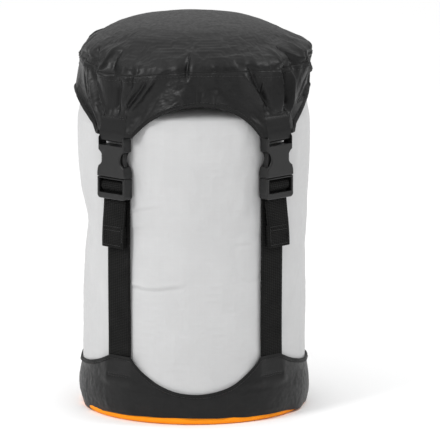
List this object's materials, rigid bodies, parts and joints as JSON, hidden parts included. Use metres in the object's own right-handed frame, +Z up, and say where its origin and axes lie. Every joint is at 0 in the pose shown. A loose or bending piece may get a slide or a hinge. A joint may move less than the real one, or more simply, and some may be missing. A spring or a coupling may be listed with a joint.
{
  "type": "compression stuff sack",
  "caption": "Upright roll-top stuff sack with a strapped compression lid, side release buckles, ladder locks and a scooped base cradle.",
  "frame": {"origin": "centre of the flat base, on the floor it stands on", "axes": "+Z up through the crown of the lid, -Y towards the side whose two straps carry side release buckles, +X to the right seen from that side"},
  "size_m": [0.1618, 0.1618, 0.27],
  "materials": {
    "body_fabric": "light grey coated ripstop nylon, soft sheen",
    "base_fabric": "bright orange coated nylon",
    "lid_nylon": "dark charcoal woven nylon, slight sheen",
    "edge_tape": "black folded edge tape",
    "seam_tape": "translucent heat-sealed tape",
    "webbing": "black woven webbing",
    "buckle_plastic": "dark grey moulded acetal, satin",
    "rolltop_fabric": "light grey coated ripstop nylon",
    "stiffener_plastic": "black flexible strip"
  },
  "bodies": {
    "sack": {"sack_body": "body_fabric", "base_panel": "base_fabric", "base_cradle": "lid_nylon", "cradle_binding": "edge_tape", "side_seam_tape": "seam_tape", "base_seam_tape": "seam_tape", "strap_front_left": "webbing", "strap_front_right": "webbing", "strap_rear_left": "webbing", "strap_rear_right": "webbing", "frame_front_left": "buckle_plastic", "frame_front_right": "buckle_plastic", "ladder_lock_rear_left": "buckle_plastic", "ladder_lock_rear_right": "buckle_plastic", "rolltop_roll": "rolltop_fabric", "rolltop_stiffener": "stiffener_plastic", "rolltop_socket": "buckle_plastic", "rolltop_frame": "buckle_plastic", "rolltop_tab_left": "webbing", "rolltop_tab_right": "webbing"},
    "lid": {"lid_crown": "lid_nylon", "lid_piping": "edge_tape", "lid_skirt": "lid_nylon", "lid_binding_front": "edge_tape", "lid_binding_rear": "edge_tape", "lid_binding_left": "edge_tape", "lid_binding_right": "edge_tape", "lid_tab_front_left": "lid_nylon", "lid_tab_front_right": "lid_nylon", "lid_tab_rear_left": "lid_nylon", "lid_tab_rear_right": "lid_nylon"},
    "socket_left": {"socket_front_left": "buckle_plastic"},
    "socket_right": {"socket_front_right": "buckle_plastic"},
    "prong_left_a": {"prong_front_left_a": "buckle_plastic"},
    "prong_left_b": {"prong_front_left_b": "buckle_plastic"},
    "prong_right_a": {"prong_front_right_a": "buckle_plastic"},
    "prong_right_b": {"prong_front_right_b": "buckle_plastic"},
    "rolltop_prong_a": {"rolltop_prong_a": "buckle_plastic"},
    "rolltop_prong_b": {"rolltop_prong_b": "buckle_plastic"},
    "tail_front_left": {"tail_front_left": "webbing"},
    "tail_front_right": {"tail_front_right": "webbing"},
    "tail_rear_left": {"tail_rear_left": "webbing"},
    "tail_rear_right": {"tail_rear_right": "webbing"}
  },
  "joints": [
    {"name": "lid_hinge", "type": "hinge", "parent": "sack", "child": "lid", "pos_m": [0, 0.0795, 0.209], "axis": [-1, 0, 0], "range_deg": [0, 100], "deforming": ["lid_tab_front_left", "lid_tab_front_right", "lid_tab_rear_left", "lid_tab_rear_right", "lid_binding_front", "lid_binding_rear", "lid_binding_left", "lid_binding_right"]},
    {"name": "socket_left_swing", "type": "hinge", "parent": "lid", "child": "socket_left", "pos_m": [-0.05387, -0.0595, 0.201], "axis": [1, 0, 0], "range_deg": [0, 100]},
    {"name": "socket_right_swing", "type": "hinge", "parent": "lid", "child": "socket_right", "pos_m": [0.05387, -0.0595, 0.201], "axis": [1, 0, 0], "range_deg": [0, 100]},
    {"name": "prong_left_a_squeeze", "type": "hinge", "parent": "sack", "child": "prong_left_a", "pos_m": [-0.06071, -0.0543, 0.1708], "axis": [0.6717, 0.7408, 0], "range_deg": [0, 6], "stiffness_Nm_per_rad": 0.05},
    {"name": "prong_left_b_squeeze", "type": "hinge", "parent": "sack", "child": "prong_left_b", "pos_m": [-0.04811, -0.06571, 0.1708], "axis": [-0.6717, -0.7408, 0], "range_deg": [0, 6], "stiffness_Nm_per_rad": 0.05},
    {"name": "prong_right_a_squeeze", "type": "hinge", "parent": "sack", "child": "prong_right_a", "pos_m": [0.04811, -0.06571, 0.1708], "axis": [-0.6717, 0.7408, 0], "range_deg": [0, 6], "stiffness_Nm_per_rad": 0.05},
    {"name": "prong_right_b_squeeze", "type": "hinge", "parent": "sack", "child": "prong_right_b", "pos_m": [0.06071, -0.0543, 0.1708], "axis": [0.6717, -0.7408, 0], "range_deg": [0, 6], "stiffness_Nm_per_rad": 0.05},
    {"name": "rolltop_prong_a_squeeze", "type": "hinge", "parent": "sack", "child": "rolltop_prong_a", "pos_m": [-0.00255, 0.00637, 0.2525], "axis": [0, 0, -1], "range_deg": [0, 6], "stiffness_Nm_per_rad": 0.03},
    {"name": "rolltop_prong_b_squeeze", "type": "hinge", "parent": "sack", "child": "rolltop_prong_b", "pos_m": [-0.00255, -0.00637, 0.2525], "axis": [0, 0, 1], "range_deg": [0, 6], "stiffness_Nm_per_rad": 0.03},
    {"name": "tail_front_left_swing", "type": "hinge", "parent": "sack", "child": "tail_front_left", "pos_m": [-0.05387, -0.05941, 0.1513], "axis": [-0.7408, 0.6717, 0], "range_deg": [0, 80]},
    {"name": "tail_front_right_swing", "type": "hinge", "parent": "sack", "child": "tail_front_right", "pos_m": [0.05387, -0.05941, 0.1513], "axis": [-0.7408, -0.6717, 0], "range_deg": [0, 80]},
    {"name": "tail_rear_left_swing", "type": "hinge", "parent": "sack", "child": "tail_rear_left", "pos_m": [-0.05387, 0.05941, 0.1727], "axis": [0.7408, 0.6717, 0], "range_deg": [0, 80]},
    {"name": "tail_rear_right_swing", "type": "hinge", "parent": "sack", "child": "tail_rear_right", "pos_m": [0.05387, 0.05941, 0.1727], "axis": [0.7408, -0.6717, 0], "range_deg": [0, 80]}
  ],
  "couplings": [
    {"joint": "socket_left_swing", "follows": "lid_hinge", "ratio": 1},
    {"joint": "socket_right_swing", "follows": "lid_hinge", "ratio": 1}
  ]
}
